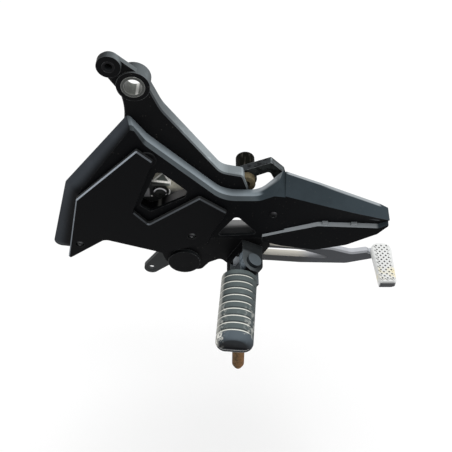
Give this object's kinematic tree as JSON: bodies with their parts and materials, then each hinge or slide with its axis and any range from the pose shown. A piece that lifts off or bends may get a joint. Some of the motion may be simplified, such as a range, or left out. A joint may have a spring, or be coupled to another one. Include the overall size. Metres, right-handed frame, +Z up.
{
  "type": "motorcycle footrest hanger",
  "caption": "Right-hand footrest hanger: cast arm with moulded cover and heel plate, folding rubber peg and a pivoting rear-brake pedal with rod lever.",
  "frame": {"origin": "on the upper frame bore's axis, in the face that meets the frame", "axes": "+X forward, +Y inboard towards the frame along the upper bore, +Z up"},
  "size_m": [0.3406, 0.164, 0.2827],
  "materials": {
    "cast_paint": "satin black paint on cast aluminium",
    "cover_plastic": "matt black moulding",
    "plate_black": "smooth black plate with worn edges",
    "bright_steel": "turned steel",
    "plated_steel": "zinc plated steel",
    "spring_steel": "spring steel wire",
    "dark_steel": "dark coated steel",
    "rusty_steel": "rusty steel",
    "peg_metal": "grey cast peg",
    "peg_rubber": "dusty grooved rubber",
    "chrome": "chrome plate",
    "bronze": "sintered bronze"
  },
  "bodies": {
    "hanger": {"hanger_casting": "cast_paint", "upper_bush": "bright_steel", "eye_bush": "bright_steel", "lug_bush": "rusty_steel", "lug_collar": "dark_steel", "outer_cover": "cover_plastic", "heel_plate": "plate_black", "cover_screw": "dark_steel", "heel_plate_screws": "dark_steel", "cylinder_bracket": "plated_steel", "bracket_screws": "dark_steel", "dome_bolt": "dark_steel", "dome_bolt_nut": "plated_steel", "peg_pin": "plated_steel", "peg_pin_washer": "plated_steel", "peg_pin_clip": "spring_steel", "peg_spring": "spring_steel", "pivot_shaft": "bright_steel", "pivot_washer": "plated_steel", "pivot_clip": "spring_steel", "spring_post": "plated_steel", "return_spring": "spring_steel", "stop_bolt": "plated_steel", "stop_nut": "plated_steel"},
    "footpeg": {"peg_core": "peg_metal", "peg_rubber": "peg_rubber", "peg_feeler": "rusty_steel", "feeler_nut": "rusty_steel"},
    "pedal": {"pedal_arm": "chrome", "pedal_hub": "dark_steel", "pedal_bushes": "bronze", "rod_lever": "dark_steel", "pedal_pad": "chrome", "pad_bolts": "plated_steel", "spring_pin": "plated_steel"}
  },
  "joints": [
    {"name": "peg_fold", "type": "hinge", "parent": "hanger", "child": "footpeg", "pos_m": [0.0915, -0.0455, -0.1945], "axis": [-0.4695, 0, -0.8829], "range_deg": [0, 65], "stiffness_Nm_per_rad": 0.4, "springref_deg": -34.38, "deforming": ["peg_spring"]},
    {"name": "pedal_press", "type": "hinge", "parent": "hanger", "child": "pedal", "pos_m": [0.0312, -0.0055, -0.2053], "axis": [0, 1, 0], "range_deg": [0, 10], "stiffness_Nm_per_rad": 8, "springref_deg": -8.59, "deforming": ["return_spring"]}
  ]
}
